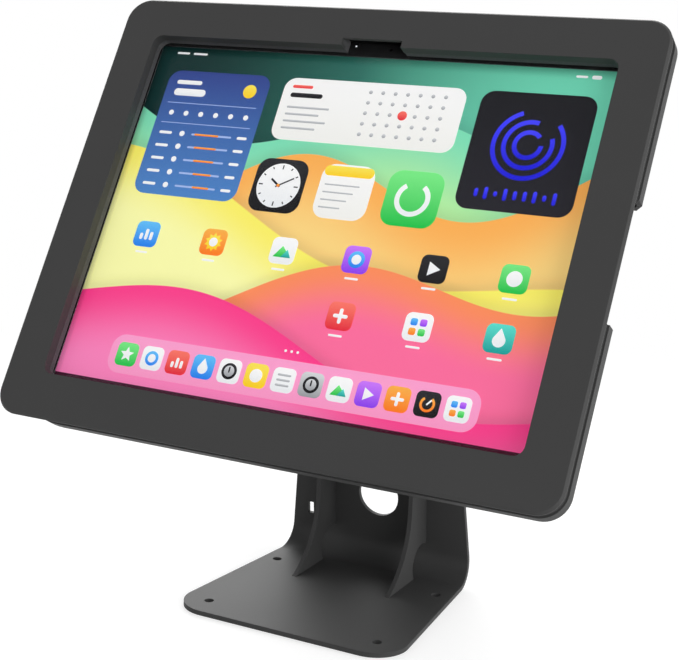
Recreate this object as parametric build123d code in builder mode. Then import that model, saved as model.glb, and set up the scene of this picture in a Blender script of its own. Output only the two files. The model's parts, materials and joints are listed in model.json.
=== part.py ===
from build123d import *
import os
from math import cos, radians, sin, tan

# Locking desk stand for a 13 inch tablet, in millimetres. The origin is the centre of the desk screw
# pattern on the underside, +X to the user's right, +Y away from the user, +Z up.

# Stand: one folded sheet with the desk plate and the upright
sheet = 2.5
desk_hole_spacing_x = 99.0
desk_hole_spacing_y = 72.5
desk_hole_d = 5.0
front_margin = 14.4  # front screws to the front edge
rear_margin = 30.3  # rear screws to where the faces of plate and upright would meet
front_width = 132.0
side_taper = 5.0  # degrees, each side of the flat blank
front_corner_r = 18.0
bend_r = 12.0
upright_lean = 5.5  # degrees, towards the user
upright_height = 183.0
upright_corner_r = 10.0
cable_hole_d = 24.4
cable_hole_height = 40.0
security_slot_width = 3.6
security_slot_length = 7.0
security_slot_x = -43.7
security_slot_height = 24.1

# Ribs between the plate and the upright, with an ear round the tilt bolt
rib_sheet = 2.5
rib_toe_reach = 48.4  # from the foot of the upright to the tip of the toe
rib_depth = 22.8  # from the foot of the upright to the straight front edge
rib_curve_height = 40.0
rib_flare_height = 105.0
scallop_r = 11.3
scallop_back = 7.2
scallop_height = 6.7

# Tilt joint
pivot_z = 177.0
ear_r = 18.66  # from the tilt bolt to the upright's face
screen_lean = 30.4  # degrees, how far the screen leans back at rest
bolt_d = 8.0
bolt_hole_clearance = 0.1
running_clearance = 0.05
bolt_head_af = 13.0
bolt_head_height = 5.3
nut_height = 8.0
bolt_end = 2.0
friction_washer_thickness = 1.0
yoke_sheet = 4.0
yoke_room = 3.25  # from the locking ring to the yoke's cheeks
yoke_reach = 29.6  # from the tilt bolt to the inside of the yoke's web
yoke_height = 56.0
yoke_bend_r = 3.0
yoke_cheek_r = 14.0
spacer_wall = 2.5

# Swivel joint and mounting plate, in layers from the yoke's web towards the screen
spindle_d = 24.0
spindle_flange_d = 54.0
spindle_flange = 3.0
spindle_tail = 1.0
brake_ring_d = 50.0
brake_ring_thickness = 2.0
wave_washer_d = 36.0
wave_washer_thickness = 1.5
locking_ring_d = 38.0
locking_ring_thickness = 5.0
locking_ring_slot = 4.0
plate_margin = 8.0  # round the outer screws
plate_thickness = 2.5
plate_corner_r = 10.0
mount_spacing = 100.0
mount_screw_d = 4.0
mount_head_d = 8.0
mount_head_height = 2.4

# Tablet
tablet_width = 281.6
tablet_height = 215.5
tablet_thickness = 5.1
tablet_corner_r = 18.0
tablet_drop = 1.2  # its centre below the window's centre
glass_thickness = 0.7
bezel = 8.4
display_thickness = 0.8
port_width = 9.0
port_height = 2.6
port_depth = 6.0

# Enclosure: rear shell and front frame, seen from the front and centred on the window
window_overlap = 0.35  # of the frame over the display's edge
window_corner_r = 5.5
side_room = 14.0  # from the tablet's edge to the case's outside
hinge_room = 14.65  # the same along the top edge
case_corner_r = 13.0
relief_corner_r = 38.0  # rounder lower left corner, where a finger lifts the frame
shell_wall = 2.5
back_bevel = 4.0
back_bevel_height = 6.0
groove_width = 4.5  # shadow gap between the rim and the frame
groove_inset = 1.0
tongue_gap = 0.3
port_notch_length = 61.4
port_notch_depth = 8.0
back_pad_thickness = 1.5
pad_margin = 18.0
glass_recess = 9.8  # from the frame's front face to the tablet's glass
frame_sheet = 2.0
frame_chamfer = 1.2
lip_depth = 5.5
lip_wall = 2.0
camera_notch_width = 34.0
camera_notch_height = 4.0
gasket_setback = 0.6
gasket_width = 6.0
gasket_gap = 0.3

# Hinge at the frame's top edge
hinge_spacing = 190.0
hinge_width = 36.0
hinge_knuckle = 13.0
hinge_gap = 0.3
hinge_barrel_r = 2.4
hinge_pin_r = 1.2
hinge_leaf = 1.2
hinge_cover = 0.2  # the barrel lies this far under the top edge
hinge_rim_gap = 0.1
hinge_notch_room = 1.0
hinge_leaf_reach = 9.0
hinge_foot = 4.0

# Key lock at the bottom of the shell's back
lock_barrel_r = 4.0
lock_wall = 1.0
lock_gap = 0.45  # between the barrel and the tablet's lower edge
lock_side_gap = 0.8  # between the barrel and the inside of the shell's lower wall
lock_flange_length = 26.0
lock_flange_width = 10.4
lock_flange = 2.0
lock_screw_spacing = 18.0
lock_screw_d = 2.5
lock_screw_head_d = 4.6
lock_screw_head = 1.2
keyway_width = 1.6
keyway_length = 4.0
keyway_depth = 3.0
plug_head = 1.5
plug_head_step = 0.5
cam_above_glass = 2.0
cam_thickness = 1.6
cam_reach = 10.0
cam_width = 7.0
cam_screw_d = 2.5
cam_screw_head_d = 4.4
cam_screw_head = 1.2
cam_screw_length = 5.0
cam_corner_r = 2.0
strike_sheet = 1.5
strike_side_gap = 1.5
strike_width = 6.0
strike_clearance = 0.4

# Worked out from the sizes above
hole_y = desk_hole_spacing_y / 2
front_y = -hole_y - front_margin
foot_y = hole_y + rear_margin
lean = radians(upright_lean)
bend_angle = 90 + upright_lean
bend_tangent = bend_r * tan(radians(bend_angle / 2))
bend_start_y = foot_y - bend_tangent
taper = tan(radians(side_taper))
half_front = front_width / 2
half_bend_start = half_front - (bend_start_y - front_y) * taper
half_bend_end = half_bend_start - bend_r * radians(bend_angle) * taper
upright_length = (upright_height - sheet) / cos(lean)
half_top = half_bend_end - (upright_length - bend_tangent) * taper
pivot_y = foot_y - (ear_r + (pivot_z - sheet) * sin(lean)) / cos(lean)

cheek_inner_x = locking_ring_d / 2 + yoke_room
cheek_outer_x = cheek_inner_x + yoke_sheet
ear_inner_x = cheek_outer_x + running_clearance + friction_washer_thickness
ear_outer_x = ear_inner_x + rib_sheet
bolt_r = bolt_d / 2
bolt_hole_r = bolt_r + bolt_hole_clearance
running_bolt_r = bolt_r + running_clearance
spindle_r = spindle_d / 2
plate_size = mount_spacing + 2 * plate_margin

# Heights in front of the tilt bolt, along the screen's normal
web_front = yoke_reach + yoke_sheet
brake_back = web_front + running_clearance
flange_back = brake_back + brake_ring_thickness
plate_back = flange_back + spindle_flange
shell_back = plate_back + plate_thickness
shell_floor = shell_back + shell_wall
tablet_back = shell_floor + back_pad_thickness
glass_back = tablet_back + tablet_thickness - glass_thickness
glass_front = glass_back + glass_thickness
frame_front = glass_front + glass_recess
frame_back = frame_front - frame_sheet
lip_end = frame_front - lip_depth
bevel_top = shell_back + back_bevel_height
rim_front = frame_back - groove_width
tongue_front = frame_back - tongue_gap
washer_back = yoke_reach - wave_washer_thickness - running_clearance
locking_back = washer_back - locking_ring_thickness
spindle_back = locking_back - spindle_tail

display_width = tablet_width - 2 * bezel
display_height = tablet_height - 2 * bezel
window_width = display_width - 2 * window_overlap
window_height = display_height - 2 * window_overlap
tablet_bottom = -tablet_drop - tablet_height / 2
cavity_inset = back_bevel * (1 - shell_wall / back_bevel_height) + shell_wall
case_width = tablet_width + 2 * side_room
case_top = tablet_bottom + tablet_height + hinge_room
case_bottom = tablet_bottom - lock_gap - 2 * lock_barrel_r - lock_side_gap - cavity_inset
case_height = case_top - case_bottom
case_mid = (case_top + case_bottom) / 2

screen_tilt = radians(screen_lean)
screen_normal = (0, -cos(screen_tilt), sin(screen_tilt))
screen_up = (0, sin(screen_tilt), cos(screen_tilt))
pivot = (0, pivot_y, pivot_z)
screen_axis = Axis(pivot, screen_normal)


def screen_plane(height):
    # parallel to the screen: x to the right, y up along the screen
    return Plane(origin=pivot, x_dir=(1, 0, 0), z_dir=screen_normal).offset(height)


def side_plane(x):
    # across the width: x up along the screen, y out along its normal
    return Plane(origin=(x, pivot_y, pivot_z), x_dir=screen_up, z_dir=(1, 0, 0))


def ring(plane, outer_r, inner_r=0, at=(0, 0)):
    with BuildSketch(plane) as face:
        with Locations(at):
            Circle(outer_r)
            if inner_r > 0:
                Circle(inner_r, mode=Mode.SUBTRACT)
    return face.sketch


def case_outline(height, inset, relief_r):
    # the enclosure's outline: three equal corners, and the lower left one by itself
    with BuildSketch(screen_plane(height)) as face:
        with Locations((0, case_mid)):
            Rectangle(case_width - 2 * inset, case_height - 2 * inset)
        fillet(face.vertices().sort_by(lambda v: v.X + v.Y)[1:], case_corner_r - inset)
        fillet(face.vertices().sort_by(lambda v: v.X + v.Y)[0], relief_r - inset)
    return face.sketch


def window_outline(height, grow):
    # the window, grown outwards by a margin
    with BuildSketch(screen_plane(height)) as face:
        RectangleRounded(window_width + 2 * grow, window_height + 2 * grow, window_corner_r + grow)
    return face.sketch


# Desk plate and upright
upright_plane = Plane(origin=(0, foot_y, sheet), x_dir=(1, 0, 0), z_dir=(0, -cos(lean), -sin(lean)))
upright_up = Vector(0, -sin(lean), cos(lean))
bend_end = Vector(0, foot_y, sheet) + upright_up * bend_tangent
bend_end_mid = bend_end - upright_plane.z_dir * (sheet / 2)

with BuildPart() as base_bracket:
    with BuildSketch() as desk_plate:
        with BuildLine():
            Polyline(
                (-half_front, front_y),
                (half_front, front_y),
                (half_bend_start, bend_start_y),
                (-half_bend_start, bend_start_y),
                close=True,
            )
        make_face()
        fillet(desk_plate.vertices().group_by(Axis.Y)[0], front_corner_r)
        with GridLocations(desk_hole_spacing_x, desk_hole_spacing_y, 2, 2):
            Circle(desk_hole_d / 2, mode=Mode.SUBTRACT)
    extrude(amount=sheet)
    with BuildLine(Plane.YZ) as bend_line:
        CenterArc((bend_start_y, sheet + bend_r), bend_r + sheet / 2, -90, bend_angle)
    with BuildSketch(Plane(origin=(0, bend_start_y, sheet / 2), x_dir=(1, 0, 0), z_dir=(0, 1, 0))):
        Rectangle(2 * half_bend_start, sheet)
    with BuildSketch(Plane(origin=bend_end_mid, x_dir=(1, 0, 0), z_dir=upright_up)):
        Rectangle(2 * half_bend_end, sheet)
    sweep(path=bend_line.line, multisection=True)
    with BuildSketch(upright_plane) as upright:
        with BuildLine():
            Polyline(
                (-half_bend_end, bend_tangent),
                (half_bend_end, bend_tangent),
                (half_top, upright_length),
                (-half_top, upright_length),
                close=True,
            )
        make_face()
        fillet(upright.vertices().group_by(Axis.Y)[-1], upright_corner_r)
        with Locations((0, cable_hole_height)):
            Circle(cable_hole_d / 2, mode=Mode.SUBTRACT)
        with Locations((security_slot_x, security_slot_height)):
            Rectangle(security_slot_width, security_slot_length, mode=Mode.SUBTRACT)
    extrude(amount=-sheet)
base_bracket.part.label = "base_bracket"


# Ribs, cut from sheet: toe, concave front edge, scallop round the bend and an ear at the bolt
def rib_outline(x):
    front = foot_y - rib_depth
    flare_z = sheet + rib_flare_height
    flare_back = foot_y - rib_flare_height * tan(lean)
    with BuildSketch(Plane.YZ.offset(x)) as face:
        with BuildLine():
            Line((front, flare_z), (front, sheet + rib_curve_height))
            TangentArc((front, sheet + rib_curve_height), (foot_y - rib_toe_reach, sheet), tangent=(0, -1))
            Line((foot_y - rib_toe_reach, sheet), (foot_y, sheet))
            Line((foot_y, sheet), (flare_back, flare_z))
            Line((flare_back, flare_z), (front, flare_z))
        make_face()
        with Locations((foot_y - scallop_back, sheet + scallop_height)):
            Circle(scallop_r, mode=Mode.SUBTRACT)
        with BuildSketch(mode=Mode.PRIVATE) as ear:
            with Locations((pivot_y, pivot_z)):
                Circle(ear_r)
            with BuildLine():
                Polyline((front, flare_z), (flare_back, flare_z), (front, flare_z - rib_sheet), close=True)
            make_face()
            make_hull(ear.edges())
        add(ear.sketch_local)
        with Locations((pivot_y, pivot_z)):
            Circle(bolt_hole_r, mode=Mode.SUBTRACT)
    return face.sketch


with BuildPart() as left_rib:
    extrude(rib_outline(-ear_outer_x), amount=rib_sheet)
left_rib.part.label = "left_rib"

with BuildPart() as right_rib:
    extrude(rib_outline(ear_inner_x), amount=rib_sheet)
right_rib.part.label = "right_rib"

# Tilt bolt through both ears, its lock nut and the friction washers
with BuildPart() as tilt_bolt:
    extrude(ring(side_plane(-ear_outer_x), bolt_r), amount=2 * ear_outer_x + nut_height + bolt_end)
    with BuildSketch(side_plane(-ear_outer_x)) as bolt_head:
        RegularPolygon(bolt_head_af / 2, 6, major_radius=False)
    extrude(bolt_head.sketch, amount=-bolt_head_height)
tilt_bolt.part.label = "tilt_bolt"

with BuildPart() as tilt_nut:
    with BuildSketch(side_plane(ear_outer_x)):
        RegularPolygon(bolt_head_af / 2, 6, major_radius=False)
        Circle(bolt_r, mode=Mode.SUBTRACT)
    extrude(amount=nut_height)
tilt_nut.part.label = "tilt_nut"

with BuildPart() as friction_washers:
    for inner_x in (-ear_inner_x, ear_inner_x - friction_washer_thickness):
        washer_face = ring(side_plane(inner_x), yoke_cheek_r, bolt_hole_r)
        extrude(washer_face, amount=friction_washer_thickness)
friction_washers.part.label = "friction_washers"

# Yoke: a folded U whose cheeks tilt on the bolt and whose web carries the swivel
yoke_plane = Plane(origin=pivot, x_dir=(1, 0, 0), z_dir=-Vector(screen_up))

with BuildPart() as tilt_yoke:
    with BuildSketch(yoke_plane):
        with Locations((0, -yoke_cheek_r)):
            Rectangle(2 * cheek_outer_x, web_front + yoke_cheek_r, align=(Align.CENTER, Align.MIN))
            Rectangle(
                2 * cheek_inner_x,
                yoke_reach + yoke_cheek_r,
                align=(Align.CENTER, Align.MIN),
                mode=Mode.SUBTRACT,
            )
    extrude(amount=yoke_height / 2, both=True)
    folds = tilt_yoke.edges().filter_by(Axis(pivot, screen_up))
    outer_folds = folds.group_by(screen_axis)[-1]
    inner_folds = folds.group_by(screen_axis)[-2]
    fillet(outer_folds, yoke_bend_r + yoke_sheet)
    fillet(inner_folds, yoke_bend_r)
    with BuildSketch(side_plane(0)) as cheek:
        Circle(yoke_cheek_r)
        with Locations((0, yoke_reach)):
            Rectangle(yoke_height, 2 * yoke_sheet, align=(Align.CENTER, Align.CENTER))
        make_hull(cheek.edges())
    extrude(cheek.sketch, amount=cheek_outer_x, both=True, mode=Mode.INTERSECT)
    extrude(ring(side_plane(-ear_inner_x), running_bolt_r), amount=2 * ear_inner_x, mode=Mode.SUBTRACT)
    extrude(
        ring(screen_plane(yoke_reach), spindle_r + running_clearance),
        amount=yoke_sheet,
        mode=Mode.SUBTRACT,
    )
tilt_yoke.part.label = "tilt_yoke"

with BuildPart() as tilt_spacer:
    spacer_end = ring(side_plane(-cheek_inner_x), running_bolt_r + spacer_wall, running_bolt_r)
    extrude(spacer_end, amount=2 * cheek_inner_x)
tilt_spacer.part.label = "tilt_spacer"

with BuildPart() as brake_ring:
    extrude(
        ring(screen_plane(brake_back), brake_ring_d / 2, spindle_r + running_clearance),
        amount=brake_ring_thickness,
    )
brake_ring.part.label = "brake_ring"

# Spindle, welded to the mounting plate by its flange and held in the web by a wave washer and a
# slotted ring nut
with BuildPart() as swivel_spindle:
    extrude(ring(screen_plane(flange_back), spindle_flange_d / 2), amount=spindle_flange)
    extrude(ring(screen_plane(spindle_back), spindle_r), amount=flange_back - spindle_back)
swivel_spindle.part.label = "swivel_spindle"

with BuildPart() as wave_washer:
    extrude(ring(screen_plane(washer_back), wave_washer_d / 2, spindle_r), amount=wave_washer_thickness)
wave_washer.part.label = "wave_washer"

with BuildPart() as locking_ring:
    with BuildSketch(screen_plane(locking_back)):
        Circle(locking_ring_d / 2)
        Circle(spindle_r, mode=Mode.SUBTRACT)
        with PolarLocations(locking_ring_d / 2, 4):
            Rectangle(locking_ring_slot, locking_ring_slot, mode=Mode.SUBTRACT)
    extrude(amount=locking_ring_thickness)
locking_ring.part.label = "locking_ring"

# Mounting plate and its screws, which thread into the shell
with BuildPart() as mounting_plate:
    with BuildSketch(screen_plane(plate_back)):
        RectangleRounded(plate_size, plate_size, plate_corner_r)
        with GridLocations(mount_spacing, mount_spacing, 2, 2):
            Circle(mount_screw_d / 2, mode=Mode.SUBTRACT)
    extrude(amount=plate_thickness)
mounting_plate.part.label = "mounting_plate"

with BuildPart() as mounting_screws:
    with BuildSketch(screen_plane(plate_back)) as mount_heads:
        with GridLocations(mount_spacing, mount_spacing, 2, 2):
            Circle(mount_head_d / 2)
    extrude(mount_heads.sketch, amount=-mount_head_height)
    with BuildSketch(screen_plane(plate_back)) as mount_shanks:
        with GridLocations(mount_spacing, mount_spacing, 2, 2):
            Circle(mount_screw_d / 2)
    extrude(mount_shanks.sketch, amount=plate_thickness + shell_wall)
mounting_screws.part.label = "mounting_screws"

# Lock and hinge places that the shell and the frame share
lock_y = tablet_bottom - lock_gap - lock_barrel_r
hinge_inset = hinge_barrel_r + hinge_cover
hinge_y = case_top - hinge_inset
hinge_height = rim_front - hinge_barrel_r - hinge_rim_gap
hinge_x = (-hinge_spacing / 2, hinge_spacing / 2)


def hinge_notch(x):
    # opens the shell's top edge round a hinge barrel and forwards to the frame
    with BuildSketch(side_plane(x)) as face:
        with Locations((hinge_y, hinge_height - hinge_inset)):
            Rectangle(
                2 * (hinge_inset + hinge_notch_room),
                tongue_front - hinge_height + hinge_inset,
                align=(Align.CENTER, Align.MIN),
            )
    return face.sketch


# Rear shell: a tray with a bevelled back, a straight rim and a tongue set in behind the frame
with BuildPart() as shell_cavity:
    rim_inside = case_outline(bevel_top, shell_wall, relief_corner_r)
    loft([case_outline(shell_floor, cavity_inset, relief_corner_r), rim_inside])
    extrude(rim_inside, amount=tongue_front - bevel_top)

with BuildPart() as rear_shell:
    widest = case_outline(bevel_top, 0, relief_corner_r)
    loft([case_outline(shell_back, back_bevel, relief_corner_r), widest])
    extrude(widest, amount=rim_front - bevel_top)
    extrude(case_outline(rim_front, groove_inset, relief_corner_r), amount=tongue_front - rim_front)
    add(shell_cavity.part, mode=Mode.SUBTRACT)
    with BuildSketch(screen_plane(shell_back)) as port_notch:
        with Locations((case_width / 2, 0)):
            Rectangle(2 * port_notch_depth, port_notch_length)
    extrude(port_notch.sketch, amount=tongue_front - shell_back, mode=Mode.SUBTRACT)
    for x in hinge_x:
        extrude(hinge_notch(x), amount=hinge_width / 2 + hinge_gap, both=True, mode=Mode.SUBTRACT)
    with BuildSketch(screen_plane(shell_back)) as back_holes:
        with GridLocations(mount_spacing, mount_spacing, 2, 2):
            Circle(mount_screw_d / 2)
        with Locations((0, lock_y)):
            Circle(lock_barrel_r)
        with Locations((-lock_screw_spacing / 2, lock_y), (lock_screw_spacing / 2, lock_y)):
            Circle(lock_screw_d / 2)
    extrude(back_holes.sketch, amount=shell_wall, mode=Mode.SUBTRACT)
rear_shell.part.label = "rear_shell"

# Foam behind the tablet
with BuildPart() as back_pad:
    with BuildSketch(screen_plane(shell_floor)):
        with Locations((0, -tablet_drop)):
            Rectangle(tablet_width - 2 * pad_margin, tablet_height - 2 * pad_margin)
    extrude(amount=back_pad_thickness)
back_pad.part.label = "back_pad"

# Tablet: body with its port, display panel and glass
with BuildPart() as tablet_body:
    with BuildSketch(screen_plane(tablet_back)):
        with Locations((0, -tablet_drop)):
            RectangleRounded(tablet_width, tablet_height, tablet_corner_r)
    extrude(amount=glass_back - tablet_back)
    with BuildSketch(screen_plane(glass_back)) as display_recess:
        with Locations((0, -tablet_drop)):
            Rectangle(display_width, display_height)
    extrude(display_recess.sketch, amount=-display_thickness, mode=Mode.SUBTRACT)
    with BuildSketch(side_plane(tablet_width / 2)) as port:
        with Locations((-tablet_drop, (tablet_back + glass_back - display_thickness) / 2)):
            SlotOverall(port_width, port_height)
    extrude(port.sketch, amount=-port_depth, mode=Mode.SUBTRACT)
tablet_body.part.label = "tablet_body"

with BuildPart() as tablet_display:
    with BuildSketch(screen_plane(glass_back)):
        with Locations((0, -tablet_drop)):
            Rectangle(display_width, display_height)
    extrude(amount=-display_thickness)
tablet_display.part.label = "tablet_display"

with BuildPart() as tablet_glass:
    with BuildSketch(screen_plane(glass_back)):
        with Locations((0, -tablet_drop)):
            RectangleRounded(tablet_width, tablet_height, tablet_corner_r)
    extrude(amount=glass_thickness)
tablet_glass.part.label = "tablet_glass"

# Front frame: chamfered plate, window with a deep lip, and a notch through the lip for the camera
with BuildPart() as front_frame:
    extrude(case_outline(frame_back, 0, case_corner_r), amount=frame_sheet)
    chamfer(front_frame.faces().sort_by(screen_axis)[-1].edges(), frame_chamfer)
    extrude(window_outline(lip_end, lip_wall), amount=frame_back - lip_end)
    extrude(window_outline(lip_end, 0), amount=lip_depth, mode=Mode.SUBTRACT)
    with BuildSketch(screen_plane(lip_end)) as camera_notch:
        with Locations((0, window_height / 2)):
            Rectangle(camera_notch_width, 2 * camera_notch_height)
    extrude(camera_notch.sketch, amount=lip_depth, mode=Mode.SUBTRACT)
front_frame.part.label = "front_frame"

# Foam round the window, against the glass, open at the camera and at the lock's cam
gasket_back = glass_front + gasket_gap
gasket_reach = gasket_setback + gasket_width
with BuildPart() as window_gasket:
    extrude(window_outline(gasket_back, gasket_reach), amount=frame_back - gasket_back)
    extrude(window_outline(gasket_back, gasket_setback), amount=lip_end - gasket_back, mode=Mode.SUBTRACT)
    extrude(window_outline(lip_end, lip_wall), amount=frame_back - lip_end, mode=Mode.SUBTRACT)
    with BuildSketch(screen_plane(gasket_back)) as gasket_gaps:
        with Locations((0, window_height / 2 + gasket_reach)):
            Rectangle(camera_notch_width, 2 * gasket_reach)
        with Locations((0, -window_height / 2 - lip_wall - gasket_setback)):
            Rectangle(2 * (cam_reach + strike_width), gasket_width, align=(Align.CENTER, Align.MAX))
    extrude(gasket_gaps.sketch, amount=frame_back - gasket_back, mode=Mode.SUBTRACT)
window_gasket.part.label = "window_gasket"

# Hinges: leaves with their knuckles, and the pins
barrel_at = (hinge_y, hinge_height)
low_side = hinge_y - hinge_barrel_r
back_side = hinge_height - hinge_barrel_r
bend_y = hinge_y - hinge_leaf_reach + hinge_foot


def front_leaf_profile(x):
    with BuildSketch(side_plane(x)) as face:
        with Locations(barrel_at):
            Circle(hinge_barrel_r)
        with Locations((low_side, hinge_height)):
            Rectangle(hinge_leaf, frame_back - hinge_height, align=(Align.MIN, Align.MIN))
        with Locations((low_side + hinge_leaf, frame_back)):
            Rectangle(hinge_leaf_reach, hinge_leaf, align=(Align.MAX, Align.MAX))
    return face.sketch


def rear_leaf_profile(x):
    with BuildSketch(side_plane(x)) as face:
        with Locations(barrel_at):
            Circle(hinge_barrel_r)
        with Locations((hinge_y, back_side)):
            Rectangle(hinge_y - bend_y, hinge_leaf, align=(Align.MAX, Align.MIN))
        with Locations((bend_y, shell_floor)):
            Rectangle(hinge_leaf, back_side + hinge_leaf - shell_floor, align=(Align.MIN, Align.MIN))
        with Locations((bend_y + hinge_leaf, shell_floor)):
            Rectangle(hinge_foot + hinge_leaf, hinge_leaf, align=(Align.MAX, Align.MIN))
    return face.sketch


with BuildPart() as hinge_front_leaves:
    for x in hinge_x:
        extrude(front_leaf_profile(x), amount=hinge_width / 2, both=True)
        room = ring(side_plane(x), hinge_barrel_r + hinge_gap, at=barrel_at)
        extrude(room, amount=hinge_knuckle / 2 + hinge_gap, both=True, mode=Mode.SUBTRACT)
        pin_hole = ring(side_plane(x), hinge_pin_r, at=barrel_at)
        extrude(pin_hole, amount=hinge_width / 2, both=True, mode=Mode.SUBTRACT)
hinge_front_leaves.part.label = "hinge_front_leaves"

with BuildPart() as hinge_rear_leaves:
    for x in hinge_x:
        extrude(rear_leaf_profile(x), amount=hinge_width / 2, both=True)
        for side in (-1, 1):
            end_plane = side_plane(x + side * hinge_knuckle / 2)
            room = ring(end_plane, hinge_barrel_r + hinge_gap, at=barrel_at)
            extrude(room, amount=side * hinge_width / 2, mode=Mode.SUBTRACT)
        pin_hole = ring(side_plane(x), hinge_pin_r + running_clearance, at=barrel_at)
        extrude(pin_hole, amount=hinge_width / 2, both=True, mode=Mode.SUBTRACT)
hinge_rear_leaves.part.label = "hinge_rear_leaves"

with BuildPart() as hinge_pins:
    for x in hinge_x:
        extrude(ring(side_plane(x), hinge_pin_r, at=barrel_at), amount=hinge_width / 2, both=True)
hinge_pins.part.label = "hinge_pins"

# Key lock: housing with a screwed flange, turning plug, cam and its screw
cam_back = glass_front + cam_above_glass
cam_front = cam_back + cam_thickness
flange_rear = shell_back - lock_flange
plug_bore_r = lock_barrel_r - lock_wall
lock_at = (0, lock_y)
lock_screws_at = [(-lock_screw_spacing / 2, lock_y), (lock_screw_spacing / 2, lock_y)]

with BuildPart() as lock_housing:
    with BuildSketch(screen_plane(flange_rear)) as lock_plate:
        with Locations(lock_at):
            SlotOverall(lock_flange_length, lock_flange_width)
        with Locations(lock_screws_at):
            Circle(lock_screw_d / 2, mode=Mode.SUBTRACT)
    extrude(lock_plate.sketch, amount=lock_flange)
    extrude(
        ring(screen_plane(shell_back), lock_barrel_r, at=lock_at),
        amount=cam_back - running_clearance - shell_back,
    )
    extrude(
        ring(screen_plane(flange_rear), plug_bore_r, at=lock_at),
        amount=cam_back - flange_rear,
        mode=Mode.SUBTRACT,
    )
    extrude(
        ring(screen_plane(flange_rear), plug_bore_r + plug_head_step, at=lock_at),
        amount=plug_head,
        mode=Mode.SUBTRACT,
    )
lock_housing.part.label = "lock_housing"

with BuildPart() as lock_plug:
    extrude(
        ring(screen_plane(flange_rear), plug_bore_r - running_clearance, at=lock_at),
        amount=cam_back - flange_rear,
    )
    extrude(
        ring(screen_plane(flange_rear), plug_bore_r + plug_head_step - running_clearance, at=lock_at),
        amount=plug_head - running_clearance,
    )
    with BuildSketch(screen_plane(flange_rear)) as keyway:
        with Locations(lock_at):
            Rectangle(keyway_width, keyway_length)
    extrude(keyway.sketch, amount=keyway_depth, mode=Mode.SUBTRACT)
    extrude(
        ring(screen_plane(cam_back), cam_screw_d / 2, at=lock_at),
        amount=-cam_screw_length,
        mode=Mode.SUBTRACT,
    )
lock_plug.part.label = "lock_plug"

with BuildPart() as lock_cam:
    with BuildSketch(screen_plane(cam_back)):
        with Locations((0, lock_y - cam_width / 2)):
            Rectangle(cam_width, cam_reach + cam_width / 2, align=(Align.CENTER, Align.MIN))
        with Locations(lock_at):
            Circle(cam_screw_d / 2, mode=Mode.SUBTRACT)
    extrude(amount=cam_thickness)
    fillet(lock_cam.edges().filter_by(screen_axis), cam_corner_r)
lock_cam.part.label = "lock_cam"

with BuildPart() as cam_screw:
    extrude(ring(screen_plane(cam_front), cam_screw_head_d / 2, at=lock_at), amount=cam_screw_head)
    extrude(
        ring(screen_plane(cam_front), cam_screw_d / 2, at=lock_at),
        amount=-cam_thickness - cam_screw_length,
    )
cam_screw.part.label = "cam_screw"

with BuildPart() as lock_screws:
    with BuildSketch(screen_plane(flange_rear)) as screw_heads:
        with Locations(lock_screws_at):
            Circle(lock_screw_head_d / 2)
    extrude(screw_heads.sketch, amount=-lock_screw_head)
    with BuildSketch(screen_plane(flange_rear)) as screw_shanks:
        with Locations(lock_screws_at):
            Circle(lock_screw_d / 2)
    extrude(screw_shanks.sketch, amount=lock_flange + shell_wall)
lock_screws.part.label = "lock_screws"

# Strike on the frame: its lip lies behind the cam once the key has turned
strike_x = -(cam_width / 2 + strike_side_gap)
strike_top = lock_y + cam_width / 2
strike_bottom = case_bottom + shell_wall + strike_clearance + strike_sheet
lip_front = cam_back - strike_clearance
with BuildPart() as lock_strike:
    with BuildSketch(side_plane(strike_x)):
        with Locations((strike_bottom, frame_back)):
            Rectangle(strike_sheet, frame_back - lip_front + strike_sheet, align=(Align.MAX, Align.MAX))
        with Locations((strike_bottom, lip_front)):
            Rectangle(strike_top - strike_bottom, strike_sheet, align=(Align.MIN, Align.MAX))
        with Locations((strike_bottom, frame_back)):
            Rectangle(strike_top - strike_bottom, strike_sheet, align=(Align.MIN, Align.MAX))
    extrude(amount=-strike_width)
lock_strike.part.label = "lock_strike"

pieces = [
    base_bracket,
    left_rib,
    right_rib,
    tilt_bolt,
    tilt_nut,
    friction_washers,
    tilt_yoke,
    tilt_spacer,
    brake_ring,
    swivel_spindle,
    wave_washer,
    locking_ring,
    mounting_plate,
    mounting_screws,
    rear_shell,
    back_pad,
    tablet_body,
    tablet_display,
    tablet_glass,
    front_frame,
    window_gasket,
    hinge_front_leaves,
    hinge_rear_leaves,
    hinge_pins,
    lock_housing,
    lock_plug,
    lock_cam,
    cam_screw,
    lock_screws,
    lock_strike,
]
os.makedirs("parts", exist_ok=True)
for piece in pieces:
    export_step(piece.part, f"parts/{piece.part.label}.step")
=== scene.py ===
import json
from math import cos, pi, radians, sin

import bmesh
import bpy
from mathutils import Matrix, Vector


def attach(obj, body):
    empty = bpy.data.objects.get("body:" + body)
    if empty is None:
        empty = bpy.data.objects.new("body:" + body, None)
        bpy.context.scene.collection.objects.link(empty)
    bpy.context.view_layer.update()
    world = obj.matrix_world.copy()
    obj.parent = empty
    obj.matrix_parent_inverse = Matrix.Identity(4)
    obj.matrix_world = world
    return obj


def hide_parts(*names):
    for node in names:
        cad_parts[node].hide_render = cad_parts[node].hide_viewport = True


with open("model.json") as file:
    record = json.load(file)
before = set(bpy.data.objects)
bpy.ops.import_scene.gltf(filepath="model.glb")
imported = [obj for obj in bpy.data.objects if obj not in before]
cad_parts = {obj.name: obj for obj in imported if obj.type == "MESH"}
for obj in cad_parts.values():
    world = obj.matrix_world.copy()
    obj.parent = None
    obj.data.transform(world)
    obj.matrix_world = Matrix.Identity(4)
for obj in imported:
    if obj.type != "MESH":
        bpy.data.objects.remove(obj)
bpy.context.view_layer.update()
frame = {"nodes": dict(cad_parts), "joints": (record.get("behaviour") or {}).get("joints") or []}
nodes = frame["nodes"]
print("frame loaded:", len(nodes), "nodes")

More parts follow.
